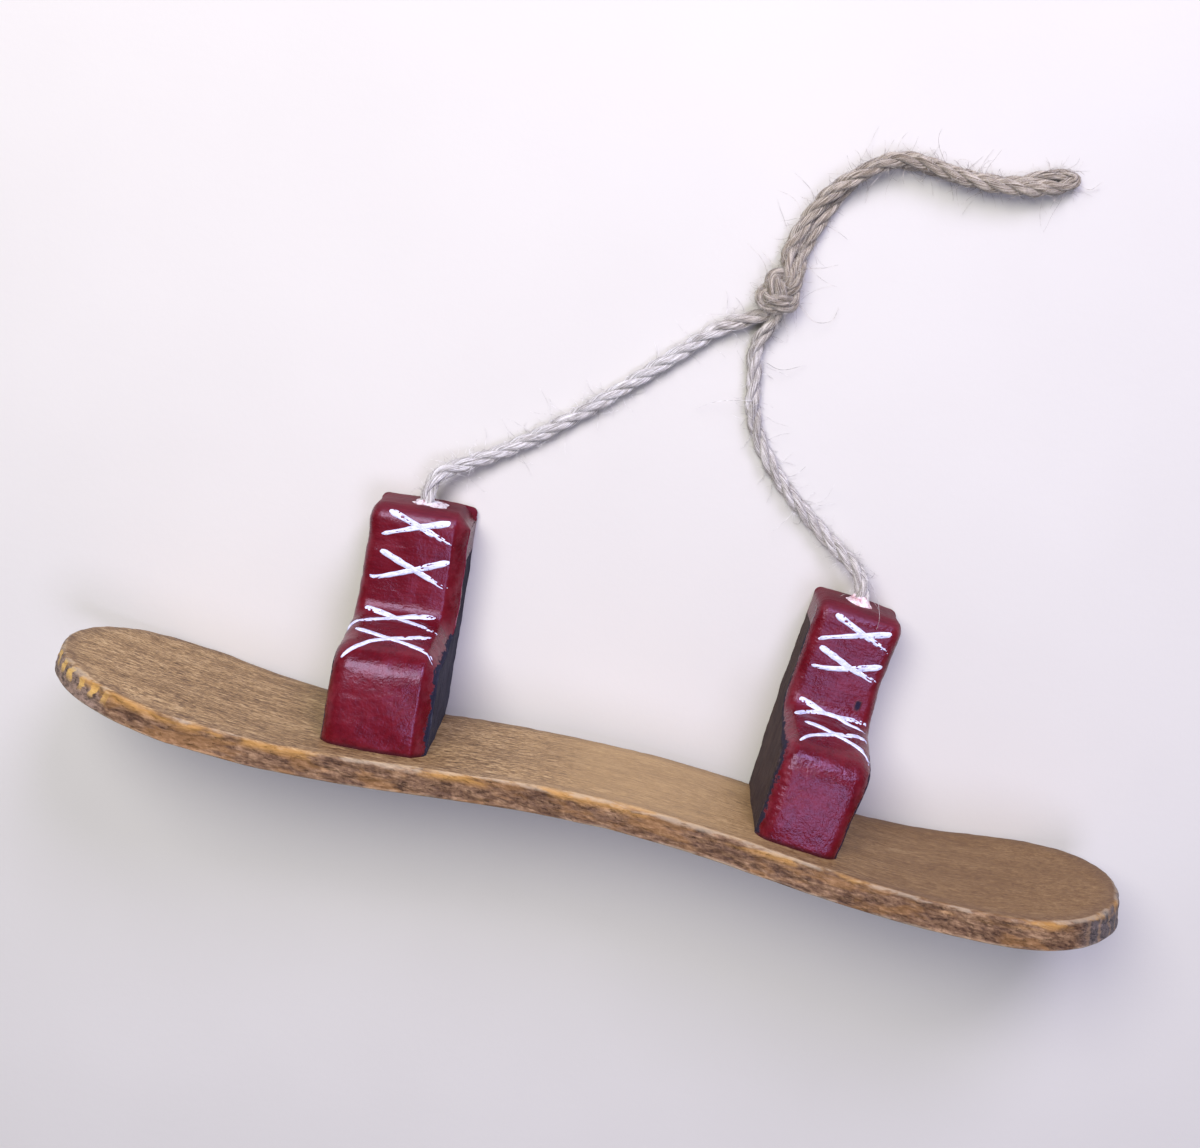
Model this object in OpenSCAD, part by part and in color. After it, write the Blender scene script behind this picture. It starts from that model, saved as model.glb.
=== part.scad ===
// Hanging ornament: a carved wooden snowboard with two boots and a jute twine hanger, lying on its back.
// +X runs along the board, +Y from the deck to the tops of the boots, +Z up from the surface it lies on.
// The board stands on its heel-side edge and the backs of the two boots lie flat on z = 0.

/* [Deck] */
// Length of the deck from tip to tip
deck_len = 150; // [125:1:190]
// Width of the deck at its two widest places, near the tips
tip_w = 31; // [29:0.5:40]
// Width of the deck at its waist
waist_w = 24; // [22:0.5:28]
// Length of the rounded left tip
left_tip_len = 20; // [12:0.5:26]
// Length of the rounded right tip
right_tip_len = 16; // [12:0.5:26]
// Fullness of the rounded tips, where 2 is an ellipse
tip_fullness = 2.2; // [2:0.1:3]
// Thickness of the deck at the left tip
left_thick = 3.7; // [2.8:0.1:5.5]
// Thickness of the deck at the right tip
right_thick = 4.3; // [3:0.1:6]

/* [Deck curve] */
// Distance of the left valley, the deck's lowest place on that side, from the middle
left_valley_x = 43; // [36:1:50]
// Distance of the right valley from the middle
right_valley_x = 44; // [36:1:50]
// Distance of the hump's top from the middle, towards the right tip
hump_x = 5; // [-10:1:15]
// Depth of the left valley below the hump
left_dip = 3; // [1:0.1:6]
// Depth of the right valley below the hump
right_dip = 1.8; // [0.5:0.1:6]
// Rise of the left tip above its valley
left_rise = 3.4; // [1:0.1:14]
// Rise of the right tip above its valley
right_rise = 4.2; // [1:0.1:14]
// How much the left tip's curl steepens towards its end
left_curl = 1.4; // [1.2:0.1:3]
// How much the right tip's curl steepens towards its end
right_curl = 2; // [1.2:0.1:3]

/* [Boots] */
// Distance of the left boot from the middle of the deck
left_boot_x = 29; // [22:0.5:36]
// Distance of the right boot from the middle of the deck
right_boot_x = 29.5; // [22:0.5:36]
// Width of the left boot
left_boot_w = 13.7; // [11:0.1:18]
// Width of the right boot
right_boot_w = 12; // [11:0.1:18]
// Height of a boot from the deck to its top
boot_h = 30.8; // [25:0.1:40]
// Depth of the shaft, from the boot's back to its front
shaft_d = 10; // [8:0.1:14]
// Depth of the foot, from the boot's back to the toe
foot_d = 24.5; // [20:0.1:27]
// Height of the foot at the ankle
foot_h = 15; // [12:0.1:18]
// Drop of the foot's top from the ankle to the toe
instep_drop = 1.2; // [0:0.1:3]
// Radius of the toe's upper edge
toe_r = 4; // [2:0.1:6]
// Radius of the hollow where the shaft meets the foot
ankle_r = 2.5; // [1:0.1:4]
// Radius of the upright front corners
corner_r = 1.8; // [0.5:0.1:3]

/* [Nails] */
// Diameter of a nail's shank
nail_d = 1.2; // [0.8:0.1:2]
// Length of a nail, its head included
nail_len = 13; // [9:0.5:18]
// Diameter of a nail's head
nail_head_d = 2.2; // [1.6:0.1:3.5]
// Thickness of a nail's head
nail_head_h = 0.6; // [0.4:0.1:1]

/* [Twine] */
// Diameter of the twine
twine_d = 2.3; // [1.5:0.1:2.6]
// Room around the twine in the hole in a boot's top
hole_gap = 0.35; // [0.2:0.05:0.6]
// Depth of the hole in a boot's top
hole_deep = 8; // [5:0.5:12]
// Height of the hole's axis above the boot's back
hole_z = 5.2; // [4:0.1:6]
// Diameter of the glue around the twine on the left boot
left_glue_d = 5.2; // [4:0.1:7]
// Diameter of the glue around the twine on the right boot
right_glue_d = 4; // [3.6:0.1:7]
// Height of the glue above a boot's top
glue_h = 0.8; // [0.4:0.1:1.5]
// Diameter of the knot
knot_d = 6.6; // [5.5:0.1:8]

/* [Hidden] */
$fn = 48;

// room around a nail, and around the twine inside its glue
fit_gap = 0.05;
// spacing of the points along the deck's curve
step_x = 2.5;
// how far the deck's blank runs past each tip before its rounded end is cut
blank_over = 5;
// number of straight steps along each long edge
edge_steps = 16;
// angle between the points of a rounded tip
tip_step = 9;
// how far a boot's blank runs below the deck's top before its sole is cut to the curve
sole_over = 3;
// depth of the cutter below the deck's curve
below = 30;
// shares of the foot's depth at which the two nails stand
nail_places = [0.35, 0.78];
// how far a nail's head stands out of the deck's underside
nail_proud = 0.2;

hole_d = twine_d + 2 * hole_gap;

half_len = deck_len / 2;
half_w = tip_w / 2;
left_tip_x = half_len - left_tip_len;
right_tip_x = half_len - right_tip_len;
sidecut_deep = (tip_w - waist_w) / 2;

// height of the deck's top at x, before the whole is centred in Y
function half_wave(t) = (1 - cos(180 * t)) / 2;
function deck_y(x) =
    x < -left_valley_x
        ? left_rise * pow((-left_valley_x - x) / (half_len - left_valley_x), left_curl) - left_dip
    : x < hump_x ? left_dip * (half_wave((x + left_valley_x) / (hump_x + left_valley_x)) - 1)
    : x < right_valley_x ? -right_dip * half_wave((x - hump_x) / (right_valley_x - hump_x))
    : right_rise * pow((x - right_valley_x) / (half_len - right_valley_x), right_curl) - right_dip;
function deck_slope(x) = atan(deck_y(x + 0.5) - deck_y(x - 0.5));
function deck_thick(x) = left_thick + (right_thick - left_thick) * (x + half_len) / deck_len;
function deck_top(x) = [x, deck_y(x)];
function deck_under(x) = deck_top(x) + deck_thick(x) * [sin(deck_slope(x)), -cos(deck_slope(x))];

// distance of the deck's heel-side edge above the surface at x, between the tips
function heel_edge(x) = sidecut_deep * (1 - pow(x / (x < 0 ? left_tip_x : right_tip_x), 2));
// points of the outline of a rounded tip, from one long edge to the other
function tip_outline(side, tip_x, tip_len) = [for (a = [0 : tip_step : 180])
    let (out = pow(sin(a), 2 / tip_fullness), up = pow(abs(cos(a)), 2 / tip_fullness))
    [side * (tip_x + tip_len * out), half_w - (a < 90 ? 1 : -1) * half_w * up]];
function edge_outline(from_x, to_x) = [for (k = [1 : edge_steps - 1])
    let (x = from_x + (to_x - from_x) * k / edge_steps) [x, heel_edge(x)]];
function upside_down(points) = [for (p = points) [p[0], tip_w - p[1]]];

blank_x = half_len + blank_over;
places = [for (x = [-blank_x : step_x : blank_x]) x];

// the object is centred in Y between the deck's underside and the higher boot's glue
function boot_top_y(x) = deck_y(x) + (boot_h + glue_h) * cos(deck_slope(x));
y_low = min([for (x = places) if (abs(x) < half_len) deck_under(x)[1]]);
y_high = max(boot_top_y(-left_boot_x), boot_top_y(right_boot_x));
y_mid = (y_low + y_high) / 2;

// the twine's route: down from each boot onto the surface, to the knot, and the doubled end beyond it
left_leg_route = [
    [-30.9, 9.6, 5.2], [-31.4, 16.6, 5.2], [-31.6, 19.1, 5], [-30.5, 21.4, 4.1], [-27.6, 23.2, 2.8],
    [-23.9, 25.5, 1.6], [-19, 29.2, 1.2], [-13.5, 34.1, 1.2], [-8.3, 39.2, 1.2], [-2.2, 45.5, 1.2],
    [3, 50.7, 1.3], [6.8, 54.4, 2.6]
];
right_leg_route = [
    [31.1, 10.8, 5.2], [31.5, 17.8, 5.2], [31.5, 19.9, 5], [30.4, 22, 4.1], [28, 23.7, 2.8],
    [25, 25.4, 1.7], [21.6, 27.7, 1.2], [18.2, 30.2, 1.2], [14.8, 33.3, 1.2], [11.8, 37, 1.2],
    [9.9, 40.9, 1.2], [9, 45, 1.2], [8.2, 49.2, 1.4], [8.2, 53, 2.6]
];
loop_route = [
    [9.7, 60, 2.4], [10.4, 64.4, 1.5], [11.7, 68.8, 1.2], [13.8, 72.8, 1.2], [16.6, 76, 1.2],
    [20, 78.2, 1.2], [24, 78.6, 1.2], [28.3, 78.3, 1.2], [32.8, 78.3, 1.2], [36.8, 78.8, 1.2],
    [40.2, 80, 1.2]
];
knot_place = [9.4, 57.1, knot_d / 2];
// centre, radius and first and last angle of the small eye at the loop's end
eye_place = [42.8, 81.1, 1.2];
eye_r = 1.9;
eye_turn = [110, -65];
eye_steps = 6;
// half the distance between the two strands of the doubled end, with the gap between them
pair_gap = 0.2;
pair_half = (twine_d + pair_gap) / 2;
cord_sides = 8;

function unit(v) = v / norm(v);
function along(route, i) = unit(route[min(i + 1, len(route) - 1)] - route[max(i - 1, 0)]);
function beside(route, i, off) =
    let (a = along(route, i)) route[i] + off * unit([-a[1], a[0], 0]);
function ring(centre, dir, r) =
    let (across = unit(cross(dir, [0, 0, 1])), up = cross(across, dir))
    [for (k = [0 : cord_sides - 1])
        centre + r * (cos(360 * k / cord_sides) * across + sin(360 * k / cord_sides) * up)];

loop_there_and_back = concat(
    [for (i = [0 : len(loop_route) - 1]) beside(loop_route, i, pair_half)],
    [for (k = [0 : eye_steps])
        let (a = eye_turn[0] + (eye_turn[1] - eye_turn[0]) * k / eye_steps)
        eye_place + eye_r * [cos(a), sin(a), 0]],
    [for (i = [len(loop_route) - 1 : -1 : 0]) beside(loop_route, i, -pair_half)]
);

module cord(route) {
    n = len(route);
    points = [for (i = [0 : n - 1]) each ring(route[i], along(route, i), twine_d / 2)];
    start = [for (k = [0 : cord_sides - 1]) k];
    end = [for (k = [cord_sides - 1 : -1 : 0]) (n - 1) * cord_sides + k];
    walls = [for (i = [0 : n - 2], k = [0 : cord_sides - 1])
        let (next = (k + 1) % cord_sides, low = i * cord_sides, high = low + cord_sides)
        [low + k, high + k, high + next, low + next]];
    polyhedron(points = points, faces = concat([start], walls, [end]));
}

// everything but the twine is drawn about the board's middle and shifted here
module centred() {
    translate([0, -y_mid, 0]) children();
}

// the deck's outline seen from its top, as an upright block
module plan_block() {
    rotate([90, 0, 0]) linear_extrude(height = 4 * below, center = true)
        polygon(concat(
            edge_outline(-left_tip_x, right_tip_x),
            tip_outline(1, right_tip_x, right_tip_len),
            upside_down(edge_outline(right_tip_x, -left_tip_x)),
            upside_down(tip_outline(-1, left_tip_x, left_tip_len))
        ));
}

// places its children on the deck at x, +Y along the boot and Z up from the boot's back
module at_boot(x) {
    translate([x, deck_y(x), 0]) rotate([0, 0, deck_slope(x)]) children();
}

module along_boot(y, z) {
    translate([0, y, z]) rotate([-90, 0, 0]) children();
}

module nail(x, z, gap) {
    thick = deck_thick(x);
    along_boot(-nail_proud - thick, z) {
        cylinder(d = nail_d + 2 * gap, h = nail_len);
        cylinder(d = nail_head_d + 2 * gap, h = nail_head_h);
    }
}

module nail_pair(x, gap) {
    for (share = nail_places)
        nail(x, share * foot_d, gap);
}

module nail_holes(x) {
    at_boot(x) nail_pair(x, fit_gap);
    at_boot(x)
        for (share = nail_places)
            along_boot(-deck_thick(x) - 1, share * foot_d)
                cylinder(d = nail_head_d + 2 * fit_gap, h = 1 - nail_proud + nail_head_h);
}

module deck() {
    color("sienna") centred() difference() {
        intersection() {
            linear_extrude(height = tip_w)
                polygon(concat(
                    [for (x = places) deck_top(x)],
                    [for (i = [len(places) - 1 : -1 : 0]) deck_under(places[i])]
                ));
            plan_block();
        }
        nail_holes(-left_boot_x);
        nail_holes(right_boot_x);
    }
}

// side view of a boot: first axis up the boot, second axis from its back to its front
module boot_side(heel) {
    toe_top = foot_h - instep_drop;
    toe_in = foot_d - toe_r;
    polygon([
        [-sole_over, heel], [0, heel], [foot_h, 0], [foot_h, shaft_d],
        [toe_top, toe_in], [toe_top - toe_r, foot_d], [-sole_over, foot_d]
    ]);
    translate([toe_top - toe_r, toe_in]) circle(r = toe_r);
    translate([foot_h - 1, 0]) square([boot_h - foot_h + 1, shaft_d]);
    difference() {
        translate([foot_h - 1, shaft_d - 1]) square(ankle_r + 1);
        translate([foot_h + ankle_r, shaft_d + ankle_r]) circle(r = ankle_r);
    }
}

// an upright block with its two front corners rounded
module boot_block(w, d, y_from, y_to) {
    translate([0, y_to, 0]) rotate([90, 0, 0]) linear_extrude(height = y_to - y_from) {
        translate([-w / 2, 0]) square([w, d - corner_r]);
        translate([-w / 2 + corner_r, 0]) square([w - 2 * corner_r, d]);
        for (side = [-1, 1])
            translate([side * (w / 2 - corner_r), d - corner_r]) circle(r = corner_r);
    }
}

module under_the_deck() {
    linear_extrude(height = 2 * tip_w)
        polygon(concat(
            [for (x = places) deck_top(x)],
            [[blank_x, -below], [-blank_x, -below]]
        ));
}

module boot(x, w) {
    difference() {
        at_boot(x) difference() {
            intersection() {
                translate([-w / 2, 0, 0]) rotate([90, 0, 90]) linear_extrude(height = w)
                    boot_side(heel_edge(x));
                union() {
                    boot_block(w, foot_d, -sole_over, foot_h + ankle_r);
                    boot_block(w, shaft_d, foot_h, boot_h);
                }
            }
            nail_pair(x, fit_gap);
            along_boot(boot_h - hole_deep, hole_z) cylinder(d = hole_d, h = hole_deep + 1);
        }
        under_the_deck();
    }
}

module left_boot() {
    color("firebrick") centred() boot(-left_boot_x, left_boot_w);
}

module right_boot() {
    color("firebrick") centred() boot(right_boot_x, right_boot_w);
}

module left_boot_nails() {
    color("silver") centred() at_boot(-left_boot_x) nail_pair(-left_boot_x, 0);
}

module right_boot_nails() {
    color("silver") centred() at_boot(right_boot_x) nail_pair(right_boot_x, 0);
}

// a low ring of glue that holds the twine in its hole
module glue_collar(x, d) {
    inner = twine_d / 2 + fit_gap;
    outer = d / 2;
    at_boot(x) along_boot(boot_h, hole_z) rotate_extrude()
        polygon([
            [inner, 0], [outer, 0], [outer - glue_h / 3, glue_h * 0.6],
            [inner + glue_h / 3, glue_h], [inner, glue_h]
        ]);
}

module left_glue_collar() {
    color("white") centred() glue_collar(-left_boot_x, left_glue_d);
}

module right_glue_collar() {
    color("white") centred() glue_collar(right_boot_x, right_glue_d);
}

module twine_left_leg() {
    color("tan") cord(left_leg_route);
}

module twine_right_leg() {
    color("tan") cord(right_leg_route);
}

module twine_knot() {
    color("tan") translate(knot_place) sphere(d = knot_d);
}

module twine_loop() {
    color("tan") cord(loop_there_and_back);
}

deck();
left_boot();
right_boot();
left_boot_nails();
right_boot_nails();
left_glue_collar();
right_glue_collar();
twine_left_leg();
twine_right_leg();
twine_knot();
twine_loop();
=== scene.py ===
"""Looks of a hanging snowboard ornament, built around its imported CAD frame.

Lengths in this script are millimetres, and piece() turns them into metres. +X runs along the board, +Y from
the deck to the tops of the boots, +Z up from the table on which the ornament lies on its back.
"""
import itertools
import math

import bpy
import numpy as np
from mathutils import Matrix, Vector


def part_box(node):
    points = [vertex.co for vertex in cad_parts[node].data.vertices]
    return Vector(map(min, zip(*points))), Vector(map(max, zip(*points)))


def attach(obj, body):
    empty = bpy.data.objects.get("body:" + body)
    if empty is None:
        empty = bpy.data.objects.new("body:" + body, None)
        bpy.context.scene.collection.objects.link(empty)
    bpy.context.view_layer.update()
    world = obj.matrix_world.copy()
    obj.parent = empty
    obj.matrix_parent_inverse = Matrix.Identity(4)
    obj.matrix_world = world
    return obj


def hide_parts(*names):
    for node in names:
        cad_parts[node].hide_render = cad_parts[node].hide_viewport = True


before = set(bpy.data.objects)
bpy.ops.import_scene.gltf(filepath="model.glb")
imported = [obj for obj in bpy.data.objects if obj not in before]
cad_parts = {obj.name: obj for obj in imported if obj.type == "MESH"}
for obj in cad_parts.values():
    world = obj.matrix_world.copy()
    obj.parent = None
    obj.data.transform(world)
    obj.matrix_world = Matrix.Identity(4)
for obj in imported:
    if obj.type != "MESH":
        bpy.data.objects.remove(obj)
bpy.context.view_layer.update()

MM = 0.001
BODY = "root"


# ---------------------------------------------------------------- the part's sizes, as part.scad has them
DECK_LEN, TIP_W, WAIST_W = 150.0, 31.0, 24.0
LEFT_TIP_LEN, RIGHT_TIP_LEN, TIP_FULLNESS = 20.0, 16.0, 2.2
LEFT_THICK, RIGHT_THICK = 3.7, 4.3
LEFT_VALLEY, RIGHT_VALLEY, HUMP = 43.0, 44.0, 5.0
LEFT_DIP, RIGHT_DIP = 3.0, 1.8
LEFT_RISE, RIGHT_RISE, LEFT_CURL, RIGHT_CURL = 3.4, 4.2, 1.4, 2.0
BOOT_H, SHAFT_D, FOOT_D, FOOT_H = 30.8, 10.0, 24.5, 15.0
INSTEP_DROP, TOE_R, ANKLE_R = 1.2, 4.0, 2.5
HOLE_Z = 5.2
TWINE_D = 2.3
HALF_LEN, HALF_W = DECK_LEN / 2, TIP_W / 2
LEFT_TIP_X, RIGHT_TIP_X = HALF_LEN - LEFT_TIP_LEN, HALF_LEN - RIGHT_TIP_LEN


def half_wave(t):
    return (1 - np.cos(np.pi * t)) / 2


def deck_y(x):
    """Height of the deck's top at x, before the object is centred in Y."""
    x = np.asarray(x, float)
    left = np.maximum(-LEFT_VALLEY - x, 0) / (HALF_LEN - LEFT_VALLEY)
    right = np.maximum(x - RIGHT_VALLEY, 0) / (HALF_LEN - RIGHT_VALLEY)
    return np.select(
        [x < -LEFT_VALLEY, x < HUMP, x < RIGHT_VALLEY],
        [
            LEFT_RISE * left**LEFT_CURL - LEFT_DIP,
            LEFT_DIP * (half_wave((x + LEFT_VALLEY) / (HUMP + LEFT_VALLEY)) - 1),
            -RIGHT_DIP * half_wave((x - HUMP) / (RIGHT_VALLEY - HUMP)),
        ],
        RIGHT_RISE * right**RIGHT_CURL - RIGHT_DIP,
    )


def deck_angle(x):
    return np.arctan(deck_y(x + 0.5) - deck_y(x - 0.5))


def deck_thick(x):
    return LEFT_THICK + (RIGHT_THICK - LEFT_THICK) * (x + HALF_LEN) / DECK_LEN


def heel_edge(x):
    """Height of the deck's heel-side edge above the table, between the tips."""
    tip_x = np.where(x < 0, LEFT_TIP_X, RIGHT_TIP_X)
    return (TIP_W - WAIST_W) / 2 * (1 - (x / tip_x) ** 2)


def under_y(x):
    return deck_y(x) - deck_thick(x) * np.cos(deck_angle(x))


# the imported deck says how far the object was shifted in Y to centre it
Y_MID = under_y(np.linspace(-HALF_LEN, HALF_LEN, 61)).min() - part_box("deck")[0].y / MM


# ---------------------------------------------------------------- helpers
class Noise:
    """Smooth noise from -1 to 1 on a seeded lattice."""

    def __init__(self, seed, size=32):
        self.size = size
        self.values = np.random.default_rng(seed).uniform(-1, 1, (size,) * 3)

    def __call__(self, points, cell):
        p = np.asarray(points, float) / np.asarray(cell, float)
        low = np.floor(p).astype(int)
        f = p - low
        f = f * f * (3 - 2 * f)
        total = np.zeros(p.shape[:-1])
        for corner in itertools.product((0, 1), repeat=3):
            weight = np.prod([f[..., k] if c else 1 - f[..., k] for k, c in enumerate(corner)], axis=0)
            at = tuple((low[..., k] + c) % self.size for k, c in enumerate(corner))
            total += weight * self.values[at]
        return total

    def layers(self, points, cell, count):
        """Several octaves of the noise, each twice as fine and half as strong."""
        cell = np.asarray(cell, float)
        return sum(self(points, cell / 2**k) / 2**k for k in range(count))


def smooth(t, low=0.0, high=1.0):
    t = np.clip((np.asarray(t, float) - low) / (high - low), 0, 1)
    return t * t * (3 - 2 * t)


def unit(v):
    v = np.asarray(v, float)
    return v / np.maximum(np.linalg.norm(v, axis=-1, keepdims=True), 1e-12)


def distance_along(points):
    return np.concatenate([[0], np.cumsum(np.linalg.norm(np.diff(points, axis=0), axis=1))])


def spaced(points, step=None, count=None):
    """The same line with evenly spaced points."""
    along = distance_along(points)
    count = count or max(2, int(round(along[-1] / step)) + 1)
    at = np.linspace(0, along[-1], count)
    return np.stack([np.interp(at, along, points[:, k]) for k in range(points.shape[1])], axis=1)


def curve(points, step):
    """A smooth line through the points, evenly spaced."""
    p = np.asarray(points, float)
    p = np.concatenate([[2 * p[0] - p[1]], p, [2 * p[-1] - p[-2]]])
    out = []
    for a, b, c, d in zip(p, p[1:], p[2:], p[3:]):
        t = np.linspace(0, 1, 24, endpoint=False)[:, None]
        out.append(
            0.5 * (2 * b + (c - a) * t + (2 * a - 5 * b + 4 * c - d) * t**2 + (3 * b - a - 3 * c + d) * t**3)
        )
    out.append(p[-2:-1])
    return spaced(np.concatenate(out), step)


def weld(points, faces, tolerance=1e-4):
    """Joins points that coincide, and drops faces that collapse. Returns the faces and the kept points."""
    keys = np.round(points / tolerance).astype(np.int64)
    _, first, back = np.unique(keys, axis=0, return_index=True, return_inverse=True)
    back = back.reshape(-1)
    kept = []
    for face in faces:
        face = [int(back[i]) for i in face]
        face = [i for k, i in enumerate(face) if i != face[k - 1]]
        if len(face) > 2:
            kept.append(face)
    return kept, first


def walls(rows, columns, start=0, ring=False):
    """Quads between rows of points, each closed on itself. A ring joins its last row to its first."""
    i, j = np.meshgrid(np.arange(rows if ring else rows - 1), np.arange(columns), indexing="ij")
    here, there, k = start + i * columns, start + (i + 1) % rows * columns, (j + 1) % columns
    return np.stack([here + j, here + k, there + k, there + j], axis=-1).reshape(-1, 4)


INSIDE_OUT = [0, 3, 2, 1]


def piece(name, points, faces, material, fields=None):
    """One mesh of the object, from points in millimetres, on the CAD body."""
    mesh = bpy.data.meshes.new(name)
    mesh.from_pydata((np.asarray(points) * MM).tolist(), [], [list(map(int, f)) for f in faces])
    for key, values in (fields or {}).items():
        values = np.asarray(values, np.float32)
        kind, part = ("FLOAT", "value") if values.ndim == 1 else ("FLOAT_VECTOR", "vector")
        mesh.attributes.new(key, kind, "POINT").data.foreach_set(part, values.ravel())
    mesh.polygons.foreach_set("use_smooth", [True] * len(mesh.polygons))
    mesh.materials.append(material)
    mesh.validate()
    made = bpy.data.objects.new(name, mesh)
    bpy.context.scene.collection.objects.link(made)
    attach(made, BODY)
    return made


def centred(points):
    """Points drawn about the board's middle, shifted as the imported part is."""
    return np.asarray(points, float) - [0, Y_MID, 0]


class Shader:
    """A material under construction: each call adds a node and returns its first output."""

    def __init__(self, name):
        self.material = bpy.data.materials.new(name)
        self.material.use_nodes = True
        self.tree = self.material.node_tree
        self.main = self.tree.nodes["Principled BSDF"]
        where = self.node("ShaderNodeTexCoord").outputs["Object"]
        self.at = self.scaled(where, (1 / MM,) * 3)

    def node(self, kind, **settings):
        made = self.tree.nodes.new(kind)
        for key, value in settings.items():
            setattr(made, key, value)
        return made

    def feed(self, socket, value):
        if isinstance(value, bpy.types.NodeSocket):
            self.tree.links.new(value, socket)
        elif isinstance(value, (tuple, list)) and socket.type == "RGBA":
            socket.default_value = (*value[:3], 1.0)
        else:
            socket.default_value = value

    def field(self, name, part="Fac"):
        return self.node("ShaderNodeAttribute", attribute_name=name).outputs[part]

    def scaled(self, vector, scale):
        made = self.node("ShaderNodeVectorMath", operation="MULTIPLY")
        self.feed(made.inputs[0], vector)
        self.feed(made.inputs[1], tuple(scale))
        return made.outputs[0]

    def shifted(self, vector, by):
        made = self.node("ShaderNodeVectorMath", operation="ADD")
        self.feed(made.inputs[0], vector)
        self.feed(made.inputs[1], by)
        return made.outputs[0]

    def combine(self, x, y, z):
        made = self.node("ShaderNodeCombineXYZ")
        for socket, value in zip(made.inputs, (x, y, z)):
            self.feed(socket, value)
        return made.outputs[0]

    def part(self, vector, which):
        """One component of a vector: 0, 1 or 2."""
        made = self.node("ShaderNodeSeparateXYZ")
        self.feed(made.inputs[0], vector)
        return made.outputs[which]

    def math(self, operation, a, b=0.0):
        made = self.node("ShaderNodeMath", operation=operation)
        self.feed(made.inputs[0], a)
        self.feed(made.inputs[1], b)
        return made.outputs[0]

    def times(self, a, b):
        return self.math("MULTIPLY", a, b)

    def plus(self, a, b):
        return self.math("ADD", a, b)

    def step(self, value, low, high):
        """0 below low, 1 above high, smooth between them. low may be above high."""
        made = self.node("ShaderNodeMapRange", interpolation_type="SMOOTHSTEP")
        self.feed(made.inputs["Value"], value)
        flip = low > high
        made.inputs["From Min"].default_value = min(low, high)
        made.inputs["From Max"].default_value = max(low, high)
        made.inputs["To Min"].default_value = 1.0 if flip else 0.0
        made.inputs["To Max"].default_value = 0.0 if flip else 1.0
        return made.outputs[0]

    def noise(self, scale, vector=None, detail=3.0, rough=0.55):
        """Noise whose cells are 1/scale mm along each axis."""
        made = self.node("ShaderNodeTexNoise")
        self.feed(made.inputs["Vector"], self.scaled(vector or self.at, scale))
        made.inputs["Scale"].default_value = 1.0
        made.inputs["Detail"].default_value = detail
        made.inputs["Roughness"].default_value = rough
        return made.outputs["Fac"]

    def mix(self, share, a, b):
        """Colour a where share is 0, b where it is 1."""
        made = self.node("ShaderNodeMix", data_type="RGBA")
        self.feed(made.inputs[0], share)
        self.feed(made.inputs[6], a)
        self.feed(made.inputs[7], b)
        return made.outputs[2]

    def mix_value(self, share, a, b):
        """Number a where share is 0, b where it is 1."""
        made = self.node("ShaderNodeMix", data_type="FLOAT")
        self.feed(made.inputs[0], share)
        self.feed(made.inputs[2], a)
        self.feed(made.inputs[3], b)
        return made.outputs[0]

    def ramp(self, value, *stops):
        made = self.node("ShaderNodeValToRGB")
        self.feed(made.inputs[0], value)
        points = made.color_ramp.elements
        while len(points) < len(stops):
            points.new(0.5)
        for point, (place, colour) in zip(points, stops):
            point.position = place
            point.color = (*colour, 1.0)
        return made.outputs[0]

    def bump(self, height, depth_mm, under=None):
        """Relief whose full height is depth_mm."""
        made = self.node("ShaderNodeBump")
        made.inputs["Strength"].default_value = 1.0
        made.inputs["Distance"].default_value = depth_mm * MM
        self.feed(made.inputs["Height"], height)
        if under:
            self.feed(made.inputs["Normal"], under)
        return made.outputs[0]

    def finish(self, colour, rough, normal=None, **constants):
        self.feed(self.main.inputs["Base Color"], colour)
        self.feed(self.main.inputs["Roughness"], rough)
        if normal:
            self.feed(self.main.inputs["Normal"], normal)
        for key, value in constants.items():
            self.main.inputs[key.replace("_", " ")].default_value = value
        return self.material


# ---------------------------------------------------------------- camera, at the photograph's viewing angle
CAMERA_AT = (-6.8, 64.2, 233.6)
CAMERA_LOOKS_AT = (-5.2, 11.8, 0.0)
CAMERA_ROLL = 14.2
LENS = 49.25


def make_camera():
    forward = (Vector(CAMERA_LOOKS_AT) - Vector(CAMERA_AT)).normalized()
    right = forward.cross(Vector((0, 1, 0))).normalized()
    right.rotate(Matrix.Rotation(math.radians(CAMERA_ROLL), 3, -forward))
    up = right.cross(forward)
    data = bpy.data.cameras.new("camera")
    data.lens, data.sensor_width = LENS, 36.0
    data.clip_start, data.clip_end = 0.01, 10.0
    made = bpy.data.objects.new("camera", data)
    made.matrix_world = Matrix(
        [[right[k], up[k], -forward[k], CAMERA_AT[k] * MM] for k in range(3)] + [[0, 0, 0, 1]]
    )
    bpy.context.scene.collection.objects.link(made)
    bpy.context.scene.camera = made


make_camera()

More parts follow.
